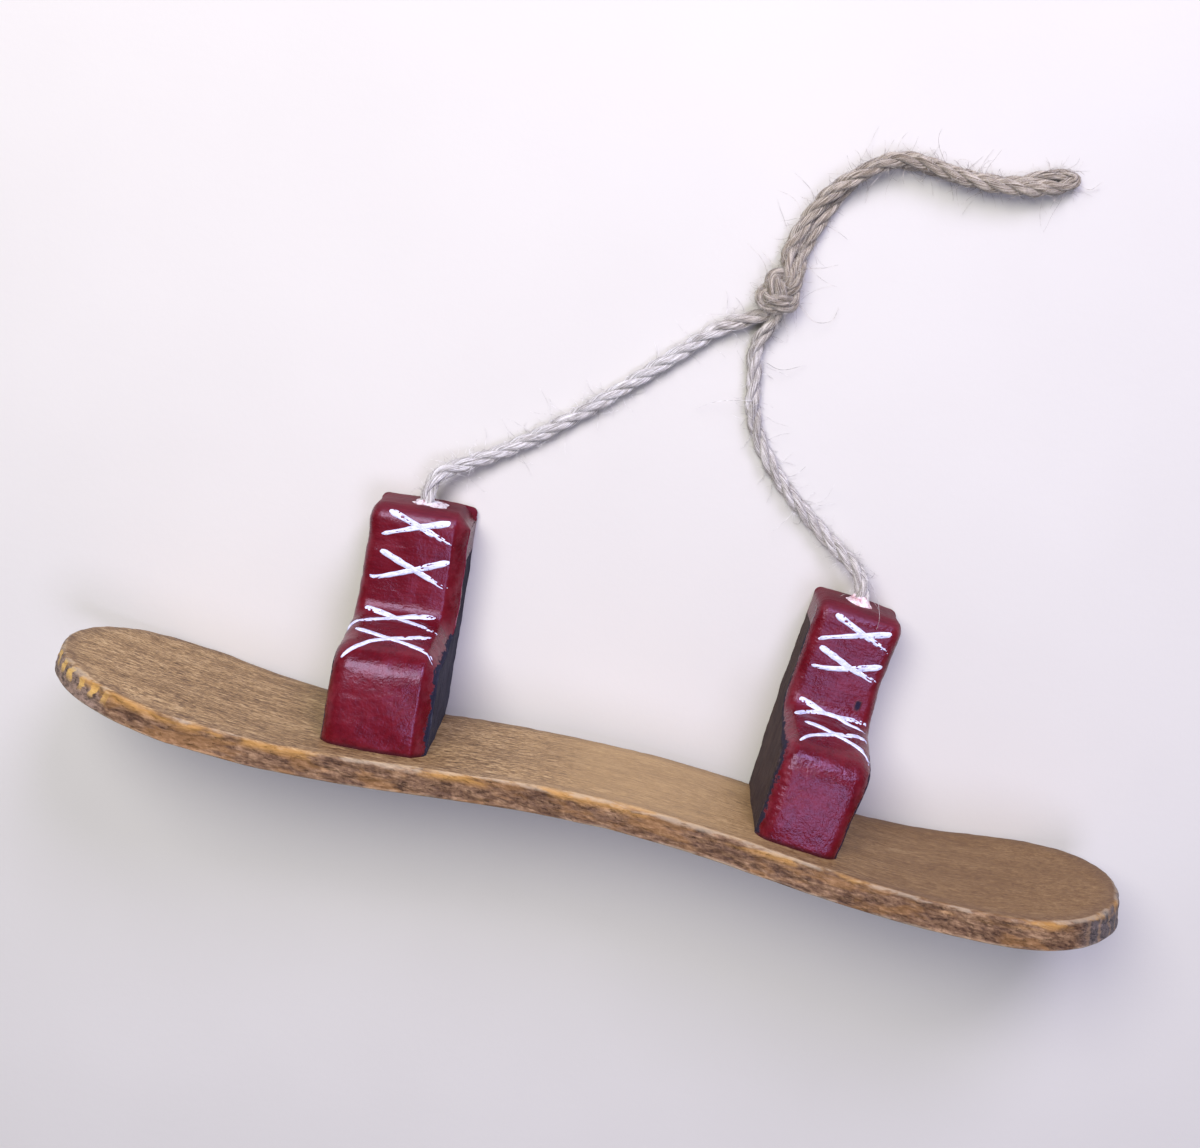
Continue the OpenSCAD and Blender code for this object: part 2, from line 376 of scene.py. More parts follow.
# ---------------------------------------------------------------- twine, along the route in part.scad
LEFT_LEG_ROUTE = [
    (-0.0309, 0.0096, 0.0052), (-0.0314, 0.0166, 0.0052), (-0.0316, 0.0191, 0.0050), (-0.0305, 0.0214, 0.0041),
    (-0.0276, 0.0232, 0.0028), (-0.0239, 0.0255, 0.0016), (-0.0190, 0.0292, 0.0012), (-0.0135, 0.0341, 0.0012),
    (-0.0083, 0.0392, 0.0012), (-0.0022, 0.0455, 0.0012), (0.0030, 0.0507, 0.0013), (0.0068, 0.0544, 0.0026),
]
RIGHT_LEG_ROUTE = [
    (0.0311, 0.0108, 0.0052), (0.0315, 0.0178, 0.0052), (0.0315, 0.0199, 0.0050), (0.0304, 0.0220, 0.0041),
    (0.0280, 0.0237, 0.0028), (0.0250, 0.0254, 0.0017), (0.0216, 0.0277, 0.0012), (0.0182, 0.0302, 0.0012),
    (0.0148, 0.0333, 0.0012), (0.0118, 0.0370, 0.0012), (0.0099, 0.0409, 0.0012), (0.0090, 0.0450, 0.0012),
    (0.0082, 0.0492, 0.0014), (0.0082, 0.0530, 0.0026),
]
LOOP_ROUTE = [
    (0.0097, 0.0600, 0.0024), (0.0104, 0.0644, 0.0015), (0.0117, 0.0688, 0.0012), (0.0138, 0.0728, 0.0012),
    (0.0166, 0.0760, 0.0012), (0.0200, 0.0782, 0.0012), (0.0240, 0.0786, 0.0012), (0.0283, 0.0783, 0.0012),
    (0.0328, 0.0783, 0.0012), (0.0368, 0.0788, 0.0012), (0.0402, 0.0800, 0.0012), (0.0434, 0.0812, 0.0012),
]
LEFT_LEG, RIGHT_LEG, LOOP = (np.array(route) / MM for route in (LEFT_LEG_ROUTE, RIGHT_LEG_ROUTE, LOOP_ROUTE))
KNOT_AT = (9.4, 57.1, 3.0)
KNOT_TOUCH = 1.1  # how near the squeezed strands' centres come in the knot
PAIR_OFF = 0.9  # from the doubled loop's middle to the centre of each strand
# how far the pair has turned, in degrees, at a distance along the loop: side by side at first, then stacked
PAIR_TURN = ((0, 10), (9, 25), (17, 95), (24, 78), (33, 102), (39.5, 96), (43.5, 160), (60, 180))
KNOT_SQUEEZE = 0.80  # how thin the tight knot draws the twine
KNOT_BODY, KNOT_HALF = 4.0, 3.4  # half the length of the knot's bulk, and of what is kept of each strand
LEGS_MEET_Y, LEGS_MEET_Z = 53.7, 2.4
EYE_REACH = 1.1  # how far the fold at the loop's end reaches past the pair
TABLE_GAP = 0.05
ROUTE_STEP, LINE_STEP = 0.5, 0.2
TURN_SPREAD = 13  # points over which the pair's turn is smoothed


def knot_start(count, size, height, gap, tail):
    """A loose overhand knot in a doubled strand: an opened trefoil with its ends pulled apart."""
    t = np.linspace(3 * np.pi - 0.55, np.pi + 0.55, 400)
    line = np.stack([
        size * (np.sin(t) + 2 * np.sin(2 * t)),
        size * (np.cos(t) - 2 * np.cos(2 * t) + 3),
        -height * np.sin(3 * t),
    ], axis=1)
    line = np.concatenate([[(-tail, 0, 0)], line, [(tail, 0, 0)]])
    run = np.gradient(line, axis=0)
    side = unit(np.stack([-run[:, 1], run[:, 0], 0 * run[:, 0]], axis=1))
    return np.array([spaced(line + off * side, count=count) for off in (-gap, gap)])


def tightened(strands, touch, rounds, pull=0.35, pushes=3):
    """Shortens the strands until they lie against each other."""
    number, count, _ = strands.shape
    strand, place = np.divmod(np.arange(number * count), count)
    same = strand[:, None] == strand[None]
    for _ in range(rounds):
        middle = (strands[:, :-2] + strands[:, 2:]) / 2
        strands[:, 1:-1] += pull * (middle - strands[:, 1:-1])
        strands = np.array([spaced(s, count=count) for s in strands])
        stride = np.linalg.norm(strands[0, 1] - strands[0, 0])
        near = same & (abs(place[:, None] - place[None]) <= math.ceil(1.7 * touch / stride))
        for _ in range(pushes):
            flat = strands.reshape(-1, 3)
            apart = flat[:, None] - flat[None]
            far = np.linalg.norm(apart, axis=2) + 1e-9
            over = np.where((far < touch) & ~near, (touch - far) / 2, 0)
            share = np.sqrt(np.maximum((over > 0).sum(1), 1))
            move = (apart * (over / far)[:, :, None]).sum(1) / share[:, None]
            move = move.reshape(strands.shape)
            move[:, [0, -1]] = 0
            strands = strands + 0.9 * move
    return strands


def knot_strands():
    """The two strands of the tight knot, placed on the table, from the legs' side to the loop's side."""
    loose = knot_start(count=64, size=1.3, height=1.7, gap=0.65, tail=12.0)
    strands = tightened(loose, KNOT_TOUCH, rounds=420)
    body = strands.reshape(-1, 3)
    body = body[abs(body[:, 0]) < KNOT_BODY]
    middle = (body[:, 1].min() + body[:, 1].max()) / 2, (body[:, 2].min() + body[:, 2].max()) / 2
    strands = strands - [0, *middle]
    legs_meet = (LEFT_LEG[-1][0] + RIGHT_LEG[-1][0]) / 2, LEGS_MEET_Y, LEGS_MEET_Z
    heading = unit(np.subtract(LOOP[0], legs_meet) * [1, 1, 0])
    side = np.array([-heading[1], heading[0], 0])
    placed = strands @ np.array([heading, side, (0, 0, 1)]) + KNOT_AT
    return [s[abs(k[:, 0]) < KNOT_HALF] for s, k in zip(placed, strands)]


def pair_strands():
    """The doubled loop: two strands that lie on the table and pass over each other now and then."""
    line = curve(LOOP, ROUTE_STEP)
    along = np.arange(len(line)) * ROUTE_STEP
    turn = np.radians(np.interp(along, *zip(*PAIR_TURN)))
    turn = np.convolve(np.pad(turn, TURN_SPREAD // 2, "edge"), np.ones(TURN_SPREAD) / TURN_SPREAD, "valid")
    run = unit(np.gradient(line, axis=0))
    side = unit(np.stack([-run[:, 1], run[:, 0], 0 * run[:, 0]], axis=1))
    swing = PAIR_OFF * np.cos(turn)[:, None] * side
    lift = PAIR_OFF * np.sin(turn)
    floor = TWINE_D / 2 + TABLE_GAP
    base = np.maximum(line[:, 2], floor)
    high = np.stack([0 * lift, 0 * lift, base - line[:, 2] + abs(lift) + lift], axis=1)
    low = np.stack([0 * lift, 0 * lift, base - line[:, 2] + abs(lift) - lift], axis=1)
    return line + swing + high, line - swing + low


def twine_line():
    """The twine's centre line: left boot, knot, out and back along the loop, knot, right boot."""
    knot_a, knot_b = knot_strands()
    loop_a, loop_b = pair_strands()
    fold = (loop_a[-1] + loop_b[-1]) / 2 + unit(loop_a[-1] - loop_a[-4]) * EYE_REACH

    def gap(p, q):
        return np.linalg.norm(p - q)

    # each strand of the knot runs on into the nearer strand of the loop, and the left leg into the nearer one
    straight = gap(knot_a[-1], loop_a[4]) + gap(knot_b[-1], loop_b[4])
    crossed = gap(knot_a[-1], loop_b[4]) + gap(knot_b[-1], loop_a[4])
    if straight > crossed:
        loop_a, loop_b = loop_b, loop_a
    if gap(knot_a[0], LEFT_LEG[-1]) > gap(knot_b[0], LEFT_LEG[-1]):
        knot_a, knot_b, loop_a, loop_b = knot_b, knot_a, loop_b, loop_a
    there = [LEFT_LEG[:-1], knot_a[::2], loop_a[5::5]]
    back = [loop_b[5::5][::-1], knot_b[::2][::-1], RIGHT_LEG[:-1][::-1]]
    line = curve(np.concatenate([*there, [fold], *back]), LINE_STEP)
    for _ in range(6):
        line[1:-1] += 0.5 * ((line[:-2] + line[2:]) / 2 - line[1:-1])
    line[:, 2] = np.maximum(line[:, 2], TWINE_D / 2 + TABLE_GAP)
    return spaced(line, LINE_STEP)


def frames_along(line):
    """The line's direction and two directions across it that don't spin."""
    run = unit(np.gradient(line, axis=0))
    across = np.zeros_like(run)
    across[0] = unit(np.cross(run[0], (0, 0, 1)))
    for i in range(1, len(line)):
        a = across[i - 1] - run[i] * (across[i - 1] @ run[i])
        across[i] = a / np.linalg.norm(a)
    return run, across, np.cross(run, across)


def rings_round(line, radius, a, b, sides):
    """Rings of points about a line, across it in the directions a and b."""
    spin = 2 * np.pi * np.arange(sides) / sides
    return line[:, None] + radius[..., None] * (
        np.cos(spin)[None, :, None] * a[:, None] + np.sin(spin)[None, :, None] * b[:, None]
    )


def tube_faces(rings, sides, start=0):
    """Faces of a closed tube of rings x sides points."""
    return walls(rings, sides, start).tolist() + [
        [start + k for k in range(sides)][::-1],
        [start + (rings - 1) * sides + k for k in range(sides)],
    ]


PLIES, PLY_SIDES = 3, 14
PLY_R, PLY_OFF, PLY_PITCH = 0.57, 0.55, 9.5
YARN_PITCH = 5.1  # pitch of the fibres in a ply, the other way round, so that they run along the twine


def jute_material():
    s = Shader("jute_fibre")
    fibre = s.field("fibre", "Vector")
    pale = s.field("pale")
    strand = s.noise((3.0, 3.0, 0.55), fibre, detail=4, rough=0.62)
    fine = s.noise((7.5, 7.5, 1.1), fibre, detail=3, rough=0.62)
    blotch = s.noise((0.5, 0.5, 0.5), detail=2)
    # the same fibre noise sets the colour and the bump: painted shade in the bump's hollows and a painted
    # highlight on its crests, over the fibres' own uneven tone
    mixed = s.plus(s.times(strand, 0.55), s.times(fine, 0.45))
    brown = s.ramp(
        mixed, (0.38, (0.050, 0.038, 0.024)), (0.47, (0.205, 0.165, 0.115)), (0.59, (0.60, 0.54, 0.44))
    )
    cream = s.ramp(
        mixed, (0.38, (0.15, 0.138, 0.12)), (0.47, (0.42, 0.40, 0.37)), (0.59, (0.84, 0.84, 0.83))
    )
    colour = s.mix(s.plus(pale, s.times(s.plus(blotch, -0.5), 0.5)), brown, cream)
    relief = s.bump(strand, 0.22, s.bump(fine, 0.12))
    return s.finish(colour, 0.86, relief, Sheen_Weight=0.35, Sheen_Roughness=0.5, Specular_IOR_Level=0.25)


def pale_along(line):
    """How much paler the twine is at each point: the legs are pale, most of all by the left boot."""
    y, x = line[:, 1], line[:, 0]
    legs = 1 - smooth(y, 46, 58)
    return legs * np.where(x < 7.5, 0.95, 0.62)


def make_twine(line, jute):
    _, across, up = frames_along(line)
    along = np.arange(len(line)) * LINE_STEP
    to_knot, to_fold = (np.linalg.norm(line - at, axis=1) for at in (KNOT_AT, LOOP[-1]))
    tight = np.minimum(to_knot, to_fold + 1.5)
    thin = 1 - (1 - KNOT_SQUEEZE) * (1 - smooth(tight, 3.0, 5.0))
    rough = Noise(11)
    points, fibre, pale, faces = [], [], [], []
    for ply in range(PLIES):
        turn = 2 * np.pi * (ply / PLIES + along / PLY_PITCH)
        out = np.cos(turn)[:, None] * across + np.sin(turn)[:, None] * up
        wander = 1 + 0.06 * rough(np.stack([along, 0 * along + 9 * ply, 0 * along], axis=1), 3)
        centre = line + (PLY_OFF * thin * wander)[:, None] * out
        ply_run = unit(np.gradient(centre, axis=0))
        out = unit(out - ply_run * (out * ply_run).sum(1)[:, None])
        over = np.cross(ply_run, out)
        spin = 2 * np.pi * np.arange(PLY_SIDES) / PLY_SIDES
        grain = spin[None] + 2 * np.pi * (along / YARN_PITCH)[:, None]
        key = np.stack(
            [np.cos(grain), np.sin(grain), np.repeat(along[:, None] * 0.5, PLY_SIDES, 1)], axis=2
        ) + [0, 0, 40 * ply]
        uneven = 1 + 0.16 * rough(key, (0.42, 0.42, 0.9)) + 0.05 * rough(key, (0.2, 0.2, 0.3))
        radius = PLY_R * thin[:, None] * uneven
        ring = rings_round(centre, radius, out, over, PLY_SIDES)
        faces += tube_faces(len(line), PLY_SIDES, sum(len(p) for p in points))
        points.append(ring.reshape(-1, 3))
        fibre.append(key.reshape(-1, 3))
        pale.append(np.repeat(pale_along(line), PLY_SIDES))
    points = np.concatenate(points)
    points[:, 2] = np.maximum(points[:, 2], 0.02)
    fields = {"fibre": np.concatenate(fibre), "pale": np.concatenate(pale)}
    return piece("twine", points, faces, jute, fields)


FIBRES = 2000
FIBRE_SIDES, FIBRE_RINGS = 3, 9
LONG_HAIRS = [
    [
        (27.6, 23.2, 3.4), (29.4, 23.0, 6.2), (31.4, 22, 8.4), (33.0, 20, 10), (33.8, 17.8, 11),
        (33.8, 16.2, 11.2),
    ],
    [(10.6, 42, 1.6), (7.4, 41.4, 2.6), (4.6, 40.4, 2.0), (2.2, 38.6, 0.6)],
    [(12.4, 56.2, 2.4), (15, 54.6, 2.2), (17.4, 55.2, 1.4), (18, 57.2, 0.6)],
    [(43.6, 81.6, 2.2), (46.2, 80.6, 2.4), (48.0, 82.2, 1.2)],
    [(9.6, 47.6, 1.6), (12.4, 47.0, 2.0), (15.6, 48.4, 0.8)],
]
LONG_HAIR_R = 0.045


def make_fuzz(line, jute):
    """Loose fibres that stand off the twine."""
    draw = np.random.default_rng(5)
    run, across, up = frames_along(line)
    points, faces, pale, key = [], [], [], []
    usable = np.arange(40, len(line) - 40)
    for _ in range(FIBRES):
        i = int(draw.choice(usable))
        turn = draw.uniform(0, 2 * np.pi)
        out = np.cos(turn) * across[i] + np.sin(turn) * up[i]
        long = draw.choice([1.3, 2.0, 3.2, 5.5], p=[0.38, 0.34, 0.21, 0.07]) * draw.uniform(0.7, 1.3)
        heading = draw.choice([-1, 1]) * run[i] * draw.uniform(0.5, 1.6)
        heading = unit(heading + out * draw.uniform(0.25, 0.9))
        place = line[i] + out * TWINE_D * 0.42
        bend = draw.normal(0, 0.30, 3)
        hair = [place]
        for _ in range(FIBRE_RINGS - 1):
            heading = unit(heading + bend * 0.6 + draw.normal(0, 0.10, 3))
            hair.append(hair[-1] + heading * long / (FIBRE_RINGS - 1))
        hair = np.array(hair)
        hair[:, 2] = np.maximum(hair[:, 2], 0.12 + 0.02 * np.arange(FIBRE_RINGS))
        add_hair(hair, draw.uniform(0.020, 0.040), pale_along(hair), points, faces, pale, key)
    for route in LONG_HAIRS:
        hair = curve(route, 0.5)
        add_hair(hair, LONG_HAIR_R, pale_along(hair), points, faces, pale, key)
    fields = {"fibre": np.concatenate(key), "pale": np.concatenate(pale)}
    return piece("twine_fibres", np.concatenate(points), faces, jute, fields)


def add_hair(hair, radius, paleness, points, faces, pale, key):
    """Adds one tapering hair to the lists of points, faces and fields."""
    _, across, up = frames_along(hair)
    taper = radius * (1 - 0.6 * np.linspace(0, 1, len(hair)))
    ring = rings_round(hair, taper[:, None], across, up, FIBRE_SIDES)
    faces += tube_faces(len(hair), FIBRE_SIDES, sum(len(p) for p in points))
    points.append(ring.reshape(-1, 3))
    # the loose hairs are drawn paler than the twine they leave, a painted highlight
    pale.append(np.repeat(np.minimum(paleness + 0.25, 1), FIBRE_SIDES))
    key.append(np.repeat(hair, FIBRE_SIDES, axis=0) * 0.2)


jute = jute_material()
twine_path = twine_line()
twine = make_twine(twine_path, jute)
fuzz = make_fuzz(twine_path, jute)
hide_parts("twine_left_leg", "twine_right_leg", "twine_knot", "twine_loop")


# ---------------------------------------------------------------- deck
EDGE_STEP = 0.3
ARRIS_TOP, ARRIS_UNDER = 0.75, 0.5  # how round the deck's upper and lower edges are
CHIP_DEPTH, SAW_DEPTH, WAVE_DEPTH, TOP_LUMPS = 0.17, 0.15, 0.10, 0.06


def half_outline():
    """The deck's toe-side outline, from the left tip's end to the right tip's: x, and half the width."""
    angle = np.linspace(0, np.pi / 2, 400)
    power = 2 / TIP_FULLNESS
    out, wide = np.sin(angle) ** power, np.cos(angle) ** power
    left = np.stack([-(LEFT_TIP_X + LEFT_TIP_LEN * out), HALF_W * wide], axis=1)[::-1]
    right = np.stack([RIGHT_TIP_X + RIGHT_TIP_LEN * out, HALF_W * wide], axis=1)
    x = np.linspace(-LEFT_TIP_X, RIGHT_TIP_X, 400)[1:-1]
    line = np.concatenate([left, np.stack([x, HALF_W - heel_edge(x)], axis=1), right])
    return spaced(line, EDGE_STEP)


def make_deck():
    half = half_outline()
    outline = np.concatenate([half, half[-2:0:-1] * [1, -1]])
    spine = np.stack([np.clip(outline[:, 0], -LEFT_TIP_X - 3, RIGHT_TIP_X + 3), 0 * outline[:, 1]], axis=1)
    reach = np.linalg.norm(spine - outline, axis=1)
    inward = unit(spine - outline)
    around = np.arange(len(outline)) * EDGE_STEP
    rough = Noise(3)
    ones = np.ones_like(around)

    def at_depth(down):
        return np.stack([outline[:, 0], outline[:, 1], down], axis=1)

    coarse, fine = rough(at_depth(2 * ones), (6, 6, 1)), rough(at_depth(5 * ones), (1.4, 1.4, 1))
    top_r = ARRIS_TOP * (1 + 0.35 * coarse + 0.25 * fine)
    low_r = ARRIS_UNDER * (1 + 0.3 * rough(at_depth(8 * ones), (4, 4, 1)))
    thick = deck_thick(outline[:, 0])
    inner = np.linspace(1, 0, 20)
    curl = np.linspace(np.pi / 2, 0, 8)
    rows = [(top_r + (reach - top_r) * g, 0 * reach, 0.0, 0.0) for g in inner[:-1]]
    rows += [(top_r * (1 - np.cos(a)), top_r * (1 - np.sin(a)), 1 - a / (np.pi / 2), 1.0) for a in curl]
    for v in np.linspace(0, 1, 14)[1:-1]:
        rows.append((0 * reach, top_r + (thick - top_r - low_r) * v, 1.0, 1.0))
    rows += [
        (low_r * (1 - np.cos(a)), thick - low_r * (1 - np.sin(a)), 1 - a / (np.pi / 2), 1.0)
        for a in curl[::-1]
    ]
    rows += [(low_r + (reach - low_r) * g, thick, 0.0, 0.0) for g in inner[::-1][1:]]

    points, edge, depth, tip, rim = [], [], [], [], []
    sawn = 0.55 + 0.45 * smooth(rough(at_depth(ones), 14), -0.3, 0.4)
    # rows go from the middle of the top, round the edge, to the middle of the underside
    for inset, down, side, near in rows:
        where = at_depth(down)
        chips = rough.layers(where, (1.5, 1.5, 0.7), 3)
        waves = rough(where + 40, (9, 9, 6))
        pit = near * sawn * side * (CHIP_DEPTH * np.maximum(chips, -0.5) + SAW_DEPTH + WAVE_DEPTH * waves)
        inset = np.minimum(inset + pit, reach)
        flat = outline + inset[:, None] * inward
        lumps = TOP_LUMPS * rough(np.stack([flat[:, 0], flat[:, 1], down], axis=1), (11, 6, 6)) * (1 - side)
        angle = deck_angle(flat[:, 0])
        depth_here = down + lumps * smooth(inset, 0, 3)
        points.append(np.stack([
            flat[:, 0] + depth_here * np.sin(angle),
            deck_y(flat[:, 0]) - depth_here * np.cos(angle),
            HALF_W + flat[:, 1],
        ], axis=1))
        edge.append(side * ones)
        depth.append(down)
        rim.append(inset)
        tip.append(abs(unit(inward)[:, 0]) * ones)
    points = np.concatenate(points)
    count, total = len(outline), len(rows)
    faces, first = weld(points, walls(total, count).tolist())
    fields = {
        "edge": np.concatenate(edge)[first],
        "depth": np.concatenate(depth)[first],
        "tip": np.concatenate(tip)[first],
        "around": np.tile(around, total)[first],
        "rim": np.concatenate(rim)[first],
    }
    deck = piece("snowboard_deck", centred(points[first]), faces, deck_material(), fields)
    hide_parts("deck")
    return deck


def deck_material():
    s = Shader("stained_walnut")
    edge, depth, tip, around = s.field("edge"), s.field("depth"), s.field("tip"), s.field("around")
    bend = s.noise((0.03, 0.10, 0.10), detail=2)
    warped = s.shifted(s.at, s.scaled(s.combine(0.0, 0.0, bend), (1, 1, 6)))
    fibre = s.noise((0.30, 3.2, 3.2), warped, detail=4, rough=0.65)
    fine = s.noise((1.3, 8.0, 8.0), warped, detail=3, rough=0.6)
    broad = s.noise((0.018, 0.28, 0.28), warped, detail=3, rough=0.5)
    cloudy = s.noise((0.07, 0.07, 0.07), detail=3)
    pores = s.step(s.noise((0.75, 5.0, 5.0), warped, detail=2, rough=0.5), 0.57, 0.66)
    close = s.plus(s.times(fibre, 0.40), s.times(fine, 0.38))
    wide = s.plus(s.times(broad, 0.14), s.times(cloudy, 0.08))
    tone = s.plus(close, wide)
    top = s.ramp(
        tone, (0.41, (0.088, 0.045, 0.017)), (0.47, (0.212, 0.127, 0.054)),
        (0.53, (0.340, 0.222, 0.102)), (0.61, (0.51, 0.37, 0.195)),
    )
    top = s.mix(s.times(pores, 0.75), top, (0.085, 0.045, 0.025))
    # painted shade darkening the right end, a painted pool of light in the middle, and dark along the rim
    painted_shade_right = s.step(s.plus(s.part(s.at, 0), s.times(cloudy, 30)), 25, 62)
    top = s.mix(s.times(painted_shade_right, 0.60), top, (0.125, 0.056, 0.014))
    from_middle = s.math("ABSOLUTE", s.plus(s.part(s.at, 0), -8.0))
    middle = s.math("SUBTRACT", from_middle, s.times(cloudy, 12))
    top = s.mix(s.times(s.step(middle, 16.0, 0.0), 0.48), top, (0.45, 0.30, 0.135))
    rim = s.times(s.step(depth, 0.1, 0.0), s.step(s.field("rim"), 3.2, 0.6))
    top = s.mix(s.times(rim, 0.30), top, (0.085, 0.050, 0.040))
    # sawn side: rough, in short slanting marks
    y_mm, z_mm = s.part(s.at, 1), s.part(s.at, 2)
    leaning = s.combine(s.plus(s.part(s.at, 0), s.times(y_mm, 0.5)), y_mm, z_mm)
    layers = s.noise((0.55, 2.4, 2.4), leaning, detail=5, rough=0.68)
    chips = s.noise((1.2, 1.5, 1.5), leaning, detail=5, rough=0.66)
    blotch = s.noise((0.22, 0.6, 0.6), detail=3, rough=0.6)
    gouges = s.step(s.noise((0.6, 1.7, 1.7), leaning, detail=4, rough=0.65), 0.56, 0.68)
    patch = s.noise((0.14, 0.45, 0.45), detail=3, rough=0.6)
    mottle = s.plus(s.times(layers, 0.42), s.plus(s.times(chips, 0.30), s.times(blotch, 0.28)))
    side = s.ramp(
        mottle, (0.38, (0.038, 0.017, 0.009)), (0.46, (0.105, 0.055, 0.029)),
        (0.53, (0.185, 0.106, 0.056)), (0.62, (0.34, 0.215, 0.120)),
    )
    side = s.mix(s.times(gouges, 0.42), side, (0.034, 0.018, 0.012))
    side = s.mix(s.times(s.step(patch, 0.50, 0.62), 0.34), side, (0.34, 0.17, 0.050))
    # end grain round the tips: ochre bands on grey at the left, thin pale stripes on slate at the right
    bands = s.math("SINE", s.plus(s.times(around, 2 * math.pi / 2.5), s.times(patch, 7.0)))
    ochre = s.times(s.step(bands, -0.1, 0.5), s.times(s.step(depth, 0.15, 0.5), s.step(depth, 2.6, 1.5)))
    grey = s.mix(s.step(mottle, 0.42, 0.56), (0.065, 0.043, 0.033), (0.25, 0.175, 0.13))
    left = s.step(s.part(s.at, 0), 0.0, -1.0)
    left_end = s.mix(s.times(ochre, 0.9), grey, (0.60, 0.38, 0.11))
    slate = s.mix(s.step(mottle, 0.42, 0.56), (0.038, 0.034, 0.036), (0.135, 0.108, 0.100))
    stripes = s.math("SINE", s.plus(s.times(around, 2 * math.pi / 2.4), s.times(patch, 7.0)))
    right_end = s.mix(s.times(s.step(stripes, 0.35, 1.0), 0.6), slate, (0.30, 0.200, 0.120))
    end_grain = s.mix(left, right_end, left_end)
    side = s.mix(s.step(tip, 0.30, 0.55), side, end_grain)
    # worn arris: ochre worn patches just below it, and a thin pale painted highlight along it
    worn = s.noise((0.07, 0.3, 0.3), detail=4, rough=0.6)
    below = s.times(s.step(depth, 1.7, 0.4), s.step(worn, 0.49, 0.60))
    side = s.mix(s.times(below, 0.75), side, (0.46, 0.245, 0.062))
    colour = s.mix(s.step(edge, 0.10, 0.75), top, side)
    # painted highlight: a thin pale broken line along the rounded top arris
    arris_highlight_band = s.times(s.step(edge, 0.02, 0.35), s.step(edge, 1.0, 0.6))
    line = s.times(arris_highlight_band, s.step(s.noise((0.16, 0.5, 0.5), detail=5, rough=0.65), 0.44, 0.56))
    colour = s.mix(s.times(line, 0.45), colour, (0.42, 0.355, 0.25))
    grain_depth = s.plus(s.times(fibre, 0.6), s.times(fine, 0.4))
    sawn_depth = s.times(s.plus(mottle, s.times(gouges, -0.25)), edge)
    relief = s.bump(grain_depth, 0.05, s.bump(sawn_depth, 0.42))
    gloss = s.plus(0.52, s.times(s.plus(tone, -0.5), 0.5))
    return s.finish(colour, gloss, relief, Specular_IOR_Level=0.22)


make_deck()


# ---------------------------------------------------------------- boots
SOLE_IN_DECK = 1.0
TOP_FRONT_R, TOP_BACK_R = 1.9, 0.9
TOE_DOME = 1.1  # how far the toe cap's front leans back towards its top
CHAIN_COUNT, CAP_COUNT = 150, 26
ROUND_STEPS, FLAT_STEPS = 8, 36
CROWN = 0.30  # how far the middle of each face stands proud of its edges
SOFT_EDGE = 1.0  # an edge rounder than this on the right side is as wide as the boot's bevel
BEVEL_CUT, ROUND_CUT = 0.75, 0.12  # how straight a bevelled and a rounded edge are cut
TOE_ROUND, SHAFT_CRISPER, BURIED_ROUND = 1.9, 0.5, 0.3
TOP_ROUND, BACK_ROUND = 1.3, 0.7
TOOTH_PITCH = 0.95
NO_CHIP = (0, -90, 0)  # a place far outside the boot
PAINT_SHEEN = (0.76, 0.66, 1.0, 1.0)


def arc(centre, radius, start, end, count=16):
    a = np.radians(np.linspace(start, end, count))
    return [(centre[0] + radius * np.cos(t), centre[1] + radius * np.sin(t)) for t in a]


def relaxed(line, rounds):
    line = line.copy()
    for _ in range(rounds):
        line[1:-1] = (line[:-2] + 2 * line[1:-1] + line[2:]) / 4
    return line


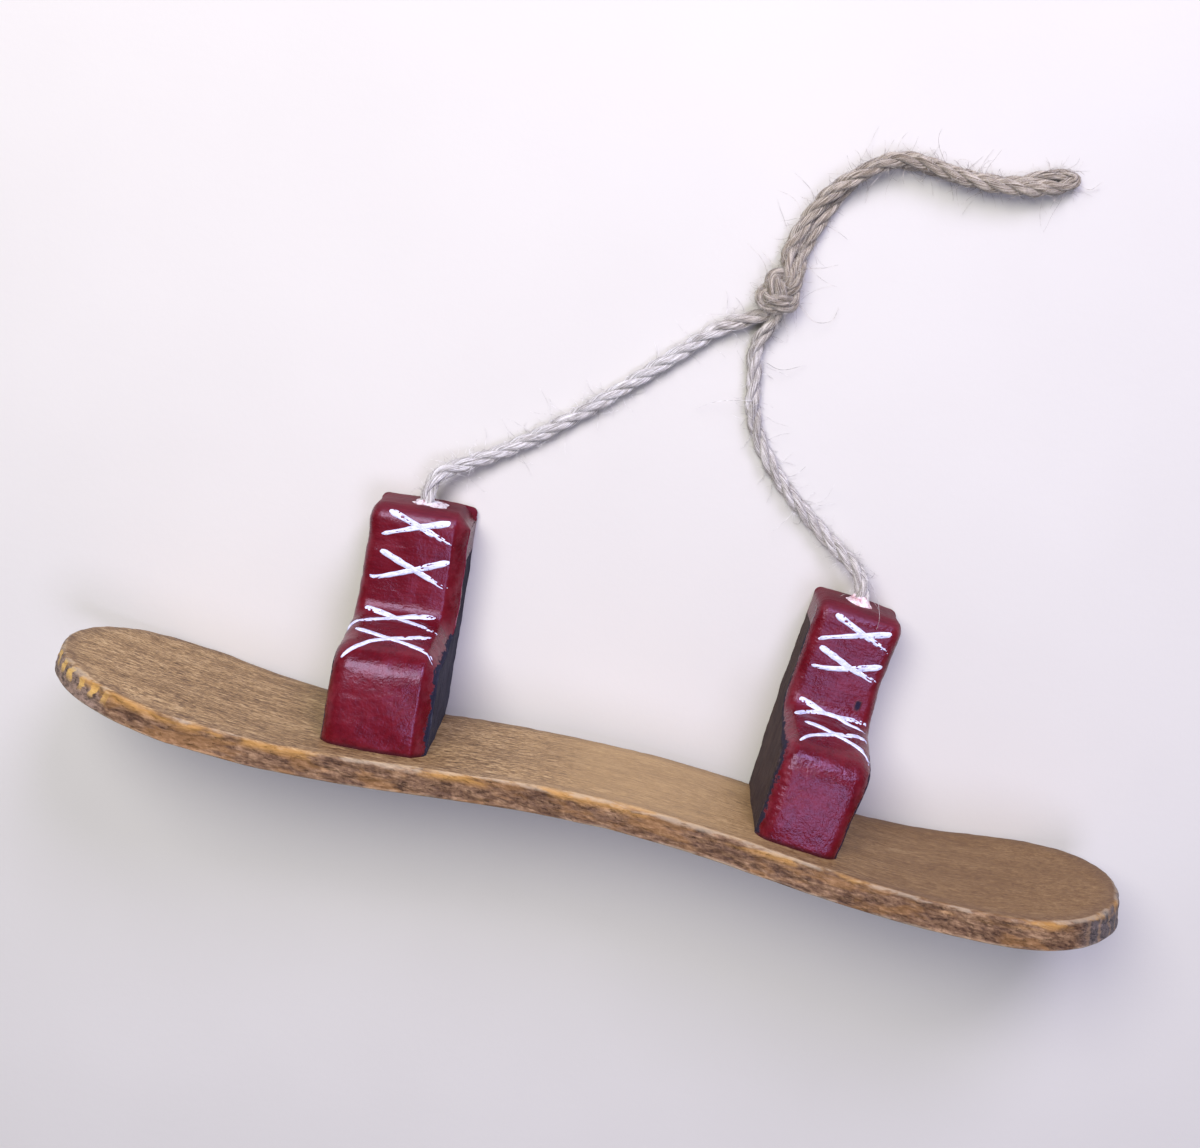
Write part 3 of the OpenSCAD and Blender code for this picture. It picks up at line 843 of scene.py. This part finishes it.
class Boot:
    """One carved boot. Its profile is drawn as (up the boot, out from its back) and swept across its width.

    bevel is the width of its right edge, chatter the depth of the knife's teeth on its left edge, chip the
    place of a paint chip, and swell a list of heights with how far the left and the right side bulge there.
    """

    def __init__(self, name, x, width, seed, bevel, chatter, chip, swell):
        self.name, self.width, self.bevel = name, width, bevel
        self.chatter, self.chip, self.swell = chatter, chip, swell
        self.rough = Noise(seed)
        angle = float(deck_angle(x))
        self.across = np.array([math.cos(angle), math.sin(angle), 0])
        self.up = np.array([-math.sin(angle), math.cos(angle), 0])
        self.origin = centred((x, float(deck_y(x)), 0))
        self.front = self.front_chain()
        self.along = distance_along(self.front)
        self.front_in = self.inward(self.front)
        self.back = self.back_chain(float(heel_edge(x)))

    def front_chain(self):
        toe_top, toe_in = FOOT_H - INSTEP_DROP, FOOT_D - TOE_R
        line = [(-SOLE_IN_DECK, FOOT_D - 0.3), (0.3, FOOT_D)]
        line += arc((toe_top - TOE_R, toe_in), TOE_R, 90, 0)
        line += arc((FOOT_H + ANKLE_R, SHAFT_D + ANKLE_R), ANKLE_R, 180, 270)
        line += arc((BOOT_H - TOP_FRONT_R, SHAFT_D - TOP_FRONT_R), TOP_FRONT_R, 90, 0)
        line = relaxed(spaced(np.array(line), 0.1), 60)
        on_cap = smooth(line[:, 0], 2, toe_top) * smooth(line[:, 1], SHAFT_D + ANKLE_R, toe_in)
        line[:, 1] -= TOE_DOME * on_cap
        return spaced(line, count=CHAIN_COUNT + 1)

    def back_chain(self, heel):
        line = arc((BOOT_H - TOP_BACK_R, TOP_BACK_R), TOP_BACK_R, 0, -90)
        line += [(FOOT_H, 0), (0.3, heel), (-SOLE_IN_DECK, heel + 0.2)]
        return spaced(relaxed(spaced(np.array(line), 0.1), 20), count=CHAIN_COUNT + 1)

    @staticmethod
    def inward(line):
        run = unit(np.gradient(line, axis=0))
        return np.stack([run[:, 1], -run[:, 0]], axis=1)

    def side_radius(self, radius, right):
        return np.where(right & (radius > SOFT_EDGE), np.maximum(radius, self.bevel), radius)

    def surface(self, place, inward, radius, q, lift=0.0):
        """A point of the skin at arc distance q from the middle, on the profile at place."""
        side = np.where(q > 0, 1.0, -1.0)
        radius = self.side_radius(radius, q > 0)
        cut = np.where((q > 0) & (radius > SOFT_EDGE) & (self.bevel > 0), BEVEL_CUT, ROUND_CUT)
        flat = self.width / 2 - radius
        t = np.clip((abs(q) - flat) / (radius * np.pi / 2), 0, 1)
        turn = t * np.pi / 2
        inset = radius * ((1 - cut) * (1 - np.cos(turn)) + cut * t)
        inset = inset + np.maximum(abs(q) - flat - radius * np.pi / 2, 0)
        u = side * np.where(abs(q) < flat, abs(q), flat + radius * ((1 - cut) * np.sin(turn) + cut * t))
        crown = CROWN * (1 - (2 * u / self.width) ** 2) * np.cos(turn)
        flat_place = place + inward * (inset - crown)[..., None]
        sideways, outward = (side * np.sin(turn))[..., None], -inward * np.cos(turn)[..., None]
        normal = np.concatenate([sideways, outward], axis=-1)
        point = np.concatenate([u[..., None], flat_place], axis=-1)
        return self.carved(point, normal, lift), np.sin(2 * turn)

    def carved(self, point, normal, lift=0.0):
        """Pushes a point in and out with the knife marks and the lumps of thick paint."""
        marks = 0.10 * self.rough(point, (3.5, 2.6, 3.0)) + 0.040 * self.rough(point + 50, (1.5, 0.7, 0.7))
        marks = marks + 0.016 * self.rough(point + 90, (0.42, 0.42, 0.42))
        teeth = 0.5 + 0.5 * np.sin(2 * np.pi * point[..., 1] / TOOTH_PITCH)
        on_left = smooth(-point[..., 0], self.width / 2 - 2.6, self.width / 2 - 1.2)
        on_edge = on_left * smooth(point[..., 2], 17, 20)
        point = point.copy()
        height, left, right = zip(*self.swell)
        point[..., 0] += np.interp(point[..., 1], height, right) * smooth(point[..., 0], 0, self.width / 2)
        point[..., 0] -= np.interp(point[..., 1], height, left) * smooth(-point[..., 0], 0, self.width / 2)
        marks = marks - self.chatter * teeth * on_edge * smooth(point[..., 1], 2, 5)
        point = point + normal * (marks + lift)[..., None]
        point[..., 2] = np.maximum(point[..., 2], 0)
        return point

    def on_front(self, q, a, lift=0.0):
        """A point of the front, q across and a along the profile from the sole, lifted off the paint."""
        place = np.stack([np.interp(a, self.along, self.front[:, k]) for k in (0, 1)], axis=-1)
        inward = np.stack([np.interp(a, self.along, self.front_in[:, k]) for k in (0, 1)], axis=-1)
        return self.surface(place, unit(inward), np.interp(a, self.along, self.front_radius()), q, lift)[0]

    def front_radius(self):
        """How round the front's side edges are: sharp in the deck, soft at the toe, crisper up the shaft."""
        a = self.along
        shown = TOE_ROUND - BURIED_ROUND - SHAFT_CRISPER * smooth(a, 17, 24)
        return BURIED_ROUND + shown * smooth(a, 0, 0.9)

    def placed(self, points):
        """From (across, up, out) to the object's axes."""
        across, up, out = points[..., :1], points[..., 1:2], points[..., 2:]
        return self.origin + across * self.across + up * self.up + out * [0, 0, 1]

    def mesh(self, material):
        share = np.linspace(0, 1, CAP_COUNT + 1)[1:-1, None]
        top = self.front[-1] + share * (self.back[0] - self.front[-1])
        sole = self.back[-1] + share * (self.front[0] - self.back[-1])
        loop = np.concatenate([self.front, top, self.back, sole])
        rest = (len(top), TOP_ROUND), (len(self.back), BACK_ROUND), (len(sole), BURIED_ROUND)
        radius = np.concatenate([self.front_radius()] + [np.full(count, value) for count, value in rest])
        spread = np.array([1, 2, 3, 2, 1]) / 9
        radius = np.convolve(np.concatenate([radius[-2:], radius, radius[:2]]), spread, "valid")
        run = unit(np.roll(loop, -1, axis=0) - np.roll(loop, 1, axis=0))
        inward = np.stack([run[:, 1], -run[:, 0]], axis=1)
        round_q = np.linspace(1, 0, ROUND_STEPS + 1)[:-1]
        flat_q = np.linspace(-1, 1, FLAT_STEPS + 1)
        points, ridge = [], []
        bands = [(-1, round_q), (0, flat_q), (1, round_q[::-1])]
        for kind, t in [(kind, t) for kind, shares in bands for t in shares]:
            r = self.side_radius(radius, kind > 0 or (kind == 0 and t > 0))
            flat = self.width / 2 - r
            q = kind * (flat + t * r * np.pi / 2) if kind else t * flat
            point, edge = self.surface(loop, inward, radius, q)
            points.append(point)
            ridge.append(edge)
        columns, count = len(points), len(loop)
        faces = walls(columns, count)[:, INSIDE_OUT].tolist()
        total = columns * count
        for side, rim, first in ((-1, points[0], 0), (1, points[-1], (columns - 1) * count)):
            grid, ids = self.cap(rim, first, side, total)
            points.append(grid)
            ridge.append(np.zeros(len(grid)))
            total += len(grid)
            quads = np.stack([ids[:-1, :-1], ids[1:, :-1], ids[1:, 1:], ids[:-1, 1:]], axis=-1).reshape(-1, 4)
            faces += (quads[:, ::-1] if side < 0 else quads).tolist()
        points, ridge = np.concatenate(points), np.concatenate(ridge)
        painted = np.concatenate([self.front, top])
        into = np.min(np.linalg.norm(points[:, None, 1:] - painted[None], axis=2), axis=1)
        chip = np.exp(-np.sum(((points - self.chip) / (0.55, 0.9, 1.5)) ** 2, axis=1) * 1.4)
        fields = {"local": points, "into": into, "ridge": ridge, "chip": smooth(chip, 0.2, 0.5)}
        made = piece(f"{self.name}_carving", self.placed(points), faces, material, fields)
        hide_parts(self.name)
        return made

    def cap(self, rim, first, side, start):
        """The flat side of the boot: a grid stretched between the rim's front, top, back and sole."""
        n, m, count = CHAIN_COUNT, CAP_COUNT, len(rim)
        ids = np.zeros((n + 1, m + 1), int)
        ids[:, 0] = first + np.arange(n + 1)
        ids[n, :] = first + np.arange(n, n + m + 1)
        ids[:, m] = (first + np.arange(n + m, 2 * n + m + 1))[::-1]
        ids[0, :] = first + np.concatenate([[0], np.arange(count - 1, 2 * n + m - 1, -1)])
        ids[1:-1, 1:-1] = start + np.arange((n - 1) * (m - 1)).reshape(n - 1, m - 1)
        left, right = rim[ids[:, 0] - first], rim[ids[:, m] - first]
        low, high = rim[ids[0] - first], rim[ids[n] - first]
        s, t = np.linspace(0, 1, n + 1)[:, None, None], np.linspace(0, 1, m + 1)[None, :, None]
        corners = (1 - s) * ((1 - t) * left[0] + t * right[0]) + s * ((1 - t) * left[-1] + t * right[-1])
        grid = (1 - t) * left[:, None] + t * right[:, None] + (1 - s) * low[None] + s * high[None] - corners
        grid = grid[1:-1, 1:-1].reshape(-1, 3)
        grid[:, 0] = side * self.width / 2
        normal = np.zeros_like(grid)
        normal[:, 0] = side
        return self.carved(grid, normal), ids


def boot_material(name, side_dark, side_light, wrap, top_from, shaft_side_black, leathery):
    """Dark red paint brushed over the front and the top. The sides are bare wood under a dark wash.

    wrap is how far the paint goes round the front's edges, top_from the height above which it covers the
    sides too, soot how black the shaft's sides are, and leathery the depth of the paint's skin.
    """
    s = Shader(name)
    local, into, ridge = s.field("local", "Vector"), s.field("into"), s.field("ridge")
    height = s.part(local, 1)
    ragged = s.noise((0.8, 0.8, 0.8), local, detail=4, rough=0.7)
    border = s.plus(into, s.times(s.plus(ragged, -0.5), 2.6))
    foot = s.step(height, 15.5, 13.5)
    all_round = s.times(s.step(height, top_from, top_from + 0.8), 20.0)
    limit = s.plus(s.plus(wrap, s.times(foot, -0.5 * wrap)), all_round)
    past = s.math("SUBTRACT", border, limit)
    bare = s.step(past, 0.0, 0.25)
    fringe = s.times(s.step(past, -0.15, 0.1), s.step(past, 1.3, 0.5))

    peel = s.noise((2.3, 2.3, 2.3), local, detail=3, rough=0.55)
    shaft = s.step(height, 14.5, 17.0)
    strokes = s.noise((0.35, 3.2, 3.2), local, detail=4, rough=0.65)
    brushed = s.mix_value(shaft, s.noise((1.1, 1.1, 1.1), local), strokes)
    cloudy = s.noise((0.22, 0.22, 0.22), local, detail=3)
    red = s.ramp(
        s.plus(s.times(cloudy, 0.5), s.times(brushed, 0.5)),
        (0.36, (0.074, 0.001, 0.004)), (0.5, (0.100, 0.002, 0.006)), (0.66, (0.130, 0.005, 0.010)),
    )
    # pinkish paint along the rounded edges: rubbed paint with a painted highlight
    rubbed_and_highlight = s.times(ridge, s.step(s.noise((0.5, 0.35, 0.5), local, detail=4, rough=0.6), 0.42, 0.66))
    red = s.mix(s.times(rubbed_and_highlight, 0.13), red, (0.40, 0.11, 0.14))
    specks = s.step(s.noise((2.8, 2.8, 2.8), local, detail=2), 0.70, 0.76)
    red = s.mix(s.times(specks, 0.5), red, (0.06, 0.006, 0.010))
    # painted shadow: the paint goes near black in the lowest 0.75 mm, where the boot meets the deck
    sole = s.step(height, 0.75, 0.15)
    red = s.mix(s.times(sole, 0.75), red, (0.03, 0.006, 0.008))

    streak = s.noise((1.8, 0.16, 1.8), local, detail=5, rough=0.7)
    fine = s.noise((6.0, 0.5, 6.0), local, detail=3, rough=0.6)
    worn = s.noise((0.25, 0.25, 0.25), local, detail=3)
    grain = s.plus(s.times(streak, 0.6), s.times(fine, 0.4))
    wood = s.mix(s.step(s.plus(s.times(grain, 0.8), s.times(worn, 0.2)), 0.40, 0.62), side_dark, side_light)
    wood = s.mix(s.times(fringe, 0.9), wood, (0.008, 0.010, 0.022))
    # the bare sides go near black up the shaft, from 13.5 to 16.5 mm high
    wood = s.mix(s.times(s.step(height, 13.5, 16.5), shaft_side_black), wood, (0.006, 0.006, 0.008))
    chip = s.field("chip")
    wood = s.mix(chip, wood, (0.010, 0.007, 0.020))
    bare = s.math("MAXIMUM", bare, chip)
    colour = s.mix(bare, red, wood)

    painted = s.mix_value(s.step(height, 29.6, 30.4), s.plus(0.19, s.times(cloudy, 0.18)), 0.6)
    gloss = s.mix_value(bare, painted, 0.95)
    skin = s.plus(s.times(peel, 0.7), s.times(brushed, 0.3))
    relief = s.bump(skin, leathery, s.bump(s.times(grain, bare), 0.16))
    return s.finish(colour, gloss, relief, Specular_IOR_Level=0.42, Specular_Tint=PAINT_SHEEN)


LEFT_BOOT = Boot(
    "left_boot", x=-29.0, width=13.7, seed=21, bevel=2.0, chatter=0.0, chip=NO_CHIP,
    swell=((0, 0.9, 0), (12, 0.7, 0), (30, 0.3, 0)),
)
RIGHT_BOOT = Boot(
    "right_boot", x=29.5, width=12.0, seed=34, bevel=0.0, chatter=0.10, chip=(3.8, 18.0, 10.0),
    swell=((0, 0, -0.3), (6, 0, 0.1), (12, 0, 0.7), (16, 0, 0.5), (22, 0, 0.1), (30, 0, 0.35)),
)
LEFT_BOOT.mesh(boot_material(
    "left_boot_paint", side_dark=(0.010, 0.012, 0.018), side_light=(0.050, 0.054, 0.070),
    wrap=2.4, top_from=24.5, shaft_side_black=0.9, leathery=0.08,
))
RIGHT_BOOT.mesh(boot_material(
    "right_boot_paint", side_dark=(0.030, 0.018, 0.011), side_light=(0.072, 0.047, 0.029),
    wrap=1.7, top_from=26.5, shaft_side_black=0.0, leathery=0.13,
))


# ---------------------------------------------------------------- laces: crossed brush strokes of white paint
THINNING, WIDENING = (0.95, 0.65), (0.55, 1.10)  # a stroke's width at its start and its end
# each stroke: its points as (across the boot, up its front), its widths, and how broken it ends
LEFT_LACES = [
    ([(-4.5, 40.7), (0.8, 38.8), (6.2, 36.7)], THINNING, 0.7),
    ([(-5.0, 37.2), (-0.2, 39.0), (4.5, 40.3)], WIDENING, 0.1),
    ([(-4.8, 35.0), (-0.4, 33.1), (6.1, 30.5)], THINNING, 0.8),
    ([(-5.8, 31.1), (-4.4, 31.1), (-0.2, 32.8), (5.2, 35.0)], WIDENING, 0.1),
    ([(-5.6, 26.5), (-1.4, 25.2), (5.6, 22.3)], THINNING, 0.7),
    ([(-7.2, 20.8), (-6.3, 22.2), (-4.1, 23.6), (0.2, 25.7), (4.6, 26.5)], WIDENING, 0.2),
    ([(-5.6, 20.3), (-1.8, 18.6), (2.6, 17.1), (5.2, 15.8), (6.8, 14.2)], THINNING, 0.7),
    ([(-6.0, 13.0), (-4.0, 15.4), (-1.4, 17.8), (4.8, 21.2)], WIDENING, 0.2),
]
RIGHT_LACES = [
    ([(-3.6, 40.1), (0.4, 38.8), (2.4, 38.1), (6.0, 36.8)], THINNING, 0.6),
    ([(-4.8, 35.9), (-3.5, 36.6), (0.6, 38.2), (4.9, 39.8)], WIDENING, 0.1),
    ([(-4.2, 35.1), (-1.1, 34.1), (0.9, 33.4), (3.9, 32.7), (5.8, 32.1)], THINNING, 0.5),
    ([(-4.5, 32.1), (-2.1, 32.4), (1.3, 33.4), (5.4, 35.0)], WIDENING, 0.1),
    ([(-4.5, 27.1), (-2.6, 26.6), (0.2, 25.7), (3.1, 26.1), (5.8, 26.3)], THINNING, 0.6),
    ([(-4.8, 23.4), (-2.9, 25.0), (0.8, 25.8), (3.2, 24.9), (5.8, 24.6)], THINNING, 0.5),
    ([(-3.5, 21.8), (-1.5, 21.4), (1.5, 20.2), (3.3, 19.2), (5.2, 17.4), (6.0, 15.4)], THINNING, 0.8),
    ([(-4.2, 15.6), (-2.2, 18.2), (1.5, 20.7), (4.2, 22.1), (5.9, 22.0)], WIDENING, 0.3),
]
LACE_THICK, LACE_SUNK = 0.17, 0.19
LACE_BODY, LACE_FEATHER = 0.05, 0.06  # least thickness of unbroken paint, and how far broken paint dips under
LACE_COLUMNS = 11


def make_lace(boot, number, stroke, widths, broken, material):
    rough = Noise(100 + number)
    line = curve(np.array(stroke), 0.1)
    share = np.linspace(0, 1, len(line))
    run = unit(np.gradient(line, axis=0))
    side = np.stack([-run[:, 1], run[:, 0]], axis=1)
    v = np.linspace(-1, 1, LACE_COLUMNS)
    key = np.broadcast_arrays(10 * share[:, None], v[None], 0 * share[:, None] + number)
    key = np.stack(key, axis=-1)
    ends = smooth(share, -0.02, 0.08) * smooth(1 - share, -0.03, 0.16)
    half = np.interp(share, (0, 0.6, 1), (widths[0], np.mean(widths), widths[1])) / 2
    half = half * (0.45 + 0.55 * ends) * (1 + 0.14 * rough(key[:, 0], (0.8, 1, 1)))
    drag = rough(key, (0.9, 0.35, 1)) * 0.6 + rough(key + 30, (0.25, 0.6, 1)) * 0.5
    dry = smooth(share, 0.5, 0.95) * broken * 1.1 - 0.55
    body = smooth(drag - dry[:, None], -0.15, 0.2)
    lift = LACE_THICK * np.sqrt(np.maximum(1 - v[None] ** 2, 0)) * (1 + 0.25 * rough(key + 60, (0.5, 0.5, 1)))
    lift = (lift + LACE_BODY) * body * ends[:, None] - LACE_FEATHER
    place = line[:, None] + side[:, None] * (half[:, None] * v[None])[..., None]
    top = boot.on_front(place[..., 0], place[..., 1], lift)
    low = boot.on_front(place[..., 0], place[..., 1], np.full(lift.shape, -LACE_SUNK))
    ring = np.concatenate([top, low[:, ::-1]], axis=1)
    points = boot.placed(ring.reshape(-1, 3))
    fields = {"brushed": np.concatenate([key, key[:, ::-1]], axis=1).reshape(-1, 3)}
    faces = tube_faces(len(line), 2 * LACE_COLUMNS)
    piece(f"{boot.name}_lace_{number + 1}", points, faces, material, fields)


def lace_material():
    s = Shader("lace_white")
    brushed = s.field("brushed", "Vector")
    lines = s.noise((0.25, 3.5, 1.0), brushed, detail=3, rough=0.6)
    grime = s.noise((1.6, 1.6, 1.6), detail=3)
    colour = s.ramp(
        s.plus(s.times(lines, 0.6), s.times(grime, 0.4)),
        (0.36, (0.36, 0.37, 0.55)), (0.48, (0.56, 0.60, 0.80)), (0.62, (0.70, 0.75, 0.92)),
    )
    return s.finish(colour, 0.5, s.bump(lines, 0.06, s.bump(grime, 0.04)), Specular_IOR_Level=0.4)


white = lace_material()
for boot, laces in ((LEFT_BOOT, LEFT_LACES), (RIGHT_BOOT, RIGHT_LACES)):
    for number, (stroke, widths, broken) in enumerate(laces):
        make_lace(boot, number, stroke, widths, broken, white)


# ---------------------------------------------------------------- dried glue round the twine
GLUE_TURNS, GLUE_RINGS = 96, 22


def make_glue(boot, reach, high, lumpy, seed, material):
    """A blob that rises against the twine and thins out over the boot's top."""
    rough = Noise(seed)
    turn = 2 * np.pi * np.arange(GLUE_TURNS) / GLUE_TURNS
    heading = np.stack([np.cos(turn), np.sin(turn)], axis=1)
    rim = reach * (1 + lumpy * rough(np.column_stack([heading, 0 * turn]), (0.5, 0.5, 1)))
    inner = TWINE_D / 2 - 0.35
    share = np.linspace(0, 1, GLUE_RINGS)
    out = inner + (rim[:, None] - inner) * share[None]
    flat = heading[:, None] * out[..., None]
    lumps = rough(np.concatenate([flat, 0 * out[..., None] + seed], axis=-1), (0.6, 0.6, 1))
    rise = high * ((1 - share[None]) ** 1.7 + 0.24 * np.sqrt(np.maximum(1 - share[None] ** 4, 0)))
    rise = rise * (1 + 0.45 * lumps) + CROWN - 0.06
    top = np.stack([flat[..., 0], BOOT_H + rise, HOLE_Z + flat[..., 1]], axis=-1)
    low = top.copy()
    low[..., 1] = BOOT_H - 0.5
    rings = np.concatenate([top, low[:, ::-1]], axis=1)
    faces = walls(GLUE_TURNS, 2 * GLUE_RINGS, ring=True)[:, INSIDE_OUT]
    made = piece(f"{boot.name}_glue", boot.placed(rings.reshape(-1, 3)), faces, material)
    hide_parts(boot.name.replace("boot", "glue_collar"))


def glue_material(name, thin, thick):
    s = Shader(name)
    milky = s.noise((1.3, 1.3, 1.3), detail=4, rough=0.6)
    fine = s.noise((4.5, 4.5, 4.5), detail=3)
    colour = s.ramp(milky, (0.36, thin), (0.52, thick), (0.66, (0.86, 0.84, 0.86)))
    relief = s.bump(fine, 0.05, s.bump(milky, 0.12))
    return s.finish(colour, 0.42, relief, Subsurface_Weight=0.12, Subsurface_Scale=0.0006)


glue_white = glue_material("glue_white", thin=(0.34, 0.16, 0.18), thick=(0.72, 0.66, 0.69))
glue_pink = glue_material("glue_pink", thin=(0.48, 0.24, 0.26), thick=(0.78, 0.66, 0.68))
make_glue(LEFT_BOOT, reach=2.6, high=0.35, lumpy=0.30, seed=41, material=glue_white)
make_glue(RIGHT_BOOT, reach=2.0, high=1.0, lumpy=0.22, seed=42, material=glue_pink)


# ---------------------------------------------------------------- nails: the CAD solids in drawn wire
def nail_material():
    s = Shader("drawn_wire")
    drawn = s.noise((6.0, 0.6, 6.0), detail=4, rough=0.6)
    spots = s.noise((1.4, 1.4, 1.4), detail=4, rough=0.65)
    colour = s.mix(s.step(spots, 0.54, 0.66), (0.52, 0.52, 0.53), (0.20, 0.15, 0.12))
    gloss = s.plus(0.26, s.times(spots, 0.35))
    return s.finish(colour, gloss, s.bump(drawn, 0.02, s.bump(spots, 0.03)), Metallic=1.0)


steel = nail_material()
for name in ("left_boot_nails", "right_boot_nails"):
    nails = bpy.data.objects[name].data
    nails.materials.clear()
    nails.materials.append(steel)


# ---------------------------------------------------------------- floor and light
FLOOR_HALF = 3000.0
LAMPS_AIM = (0, 20, 0)
WORLD_COLOUR, WORLD_STRENGTH = (0.80, 0.85, 0.95, 1), 0.20


def make_floor():
    mesh = bpy.data.meshes.new("floor")
    corners = [(x * FLOOR_HALF, y * FLOOR_HALF, 0) for x, y in ((-1, -1), (1, -1), (1, 1), (-1, 1))]
    mesh.from_pydata((np.array(corners) * MM).tolist(), [], [(0, 1, 2, 3)])
    s = Shader("pale_floor")
    soft = s.noise((0.02, 0.02, 0.02), detail=3)
    fine = s.noise((0.8, 0.8, 0.8), detail=2)
    colour = s.mix(soft, (0.53, 0.52, 0.475), (0.58, 0.57, 0.525))
    mesh.materials.append(s.finish(colour, 0.7, s.bump(fine, 0.02), Specular_IOR_Level=0.25))
    floor = bpy.data.objects.new("floor", mesh)
    bpy.context.scene.collection.objects.link(floor)


def make_lamp(name, place, size, watts, colour):
    data = bpy.data.lights.new(name, "AREA")
    data.shape, data.size, data.energy, data.color = "DISK", size * MM, watts, colour
    lamp = bpy.data.objects.new(name, data)
    lamp.location = Vector(place) * MM
    lamp.rotation_euler = (Vector(LAMPS_AIM) - Vector(place)).to_track_quat("-Z", "Y").to_euler()
    bpy.context.scene.collection.objects.link(lamp)


make_floor()
make_lamp("key", (-140, 210, 400), 260, 2.2, (1.0, 0.96, 0.94))
make_lamp("window", (150, -70, 600), 240, 1.4, (0.70, 0.68, 1.0))
make_lamp("sky", (90, 400, 330), 220, 2.0, (0.74, 0.68, 1.0))

world = bpy.data.worlds.new("studio")
world.use_nodes = True
background = world.node_tree.nodes["Background"]
background.inputs["Color"].default_value = WORLD_COLOUR
background.inputs["Strength"].default_value = WORLD_STRENGTH
bpy.context.scene.world = world
bpy.context.scene.view_settings.view_transform = "Standard"
